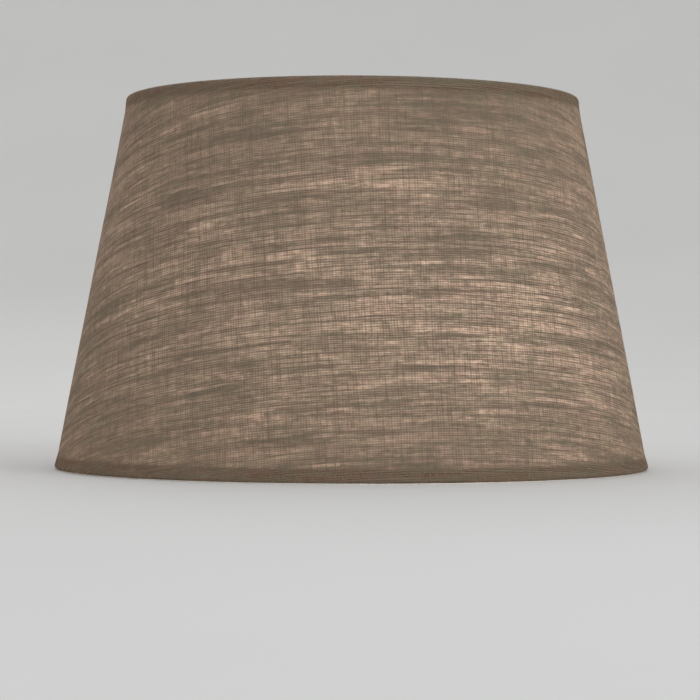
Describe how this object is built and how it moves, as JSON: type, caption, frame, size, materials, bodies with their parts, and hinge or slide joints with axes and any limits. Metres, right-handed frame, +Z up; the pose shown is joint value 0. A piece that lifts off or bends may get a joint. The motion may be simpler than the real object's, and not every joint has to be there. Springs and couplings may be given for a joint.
{
  "type": "lamp shade",
  "caption": "Tapered drum lamp shade: linen on a clear film rolled over two wire rings, with a recessed fitter ring on three wire arms.",
  "frame": {"origin": "centre of the bottom rim, on the plane that the rim stands on", "axes": "+Z up along the shade's axis; +Y towards the lapped seam at the back; -Y is the front, at the middle of the linen's grain"},
  "size_m": [0.4499, 0.45, 0.28],
  "materials": {
    "linen": "coarse slub linen, flax brown-grey",
    "film": "white translucent satin film",
    "tape": "clear double-sided tape",
    "frame_wire": "white powder coat, satin",
    "fitter": "white powder coat, satin"
  },
  "bodies": {
    "root": {"linen_cover": "linen", "backing_film": "film", "seam_tape": "tape", "top_hem_tape": "tape", "bottom_hem_tape": "tape", "top_ring": "frame_wire", "bottom_ring": "frame_wire", "fitter_ring": "fitter", "fitter_arm_1": "frame_wire", "fitter_arm_2": "frame_wire", "fitter_arm_3": "frame_wire"}
  },
  "joints": []
}
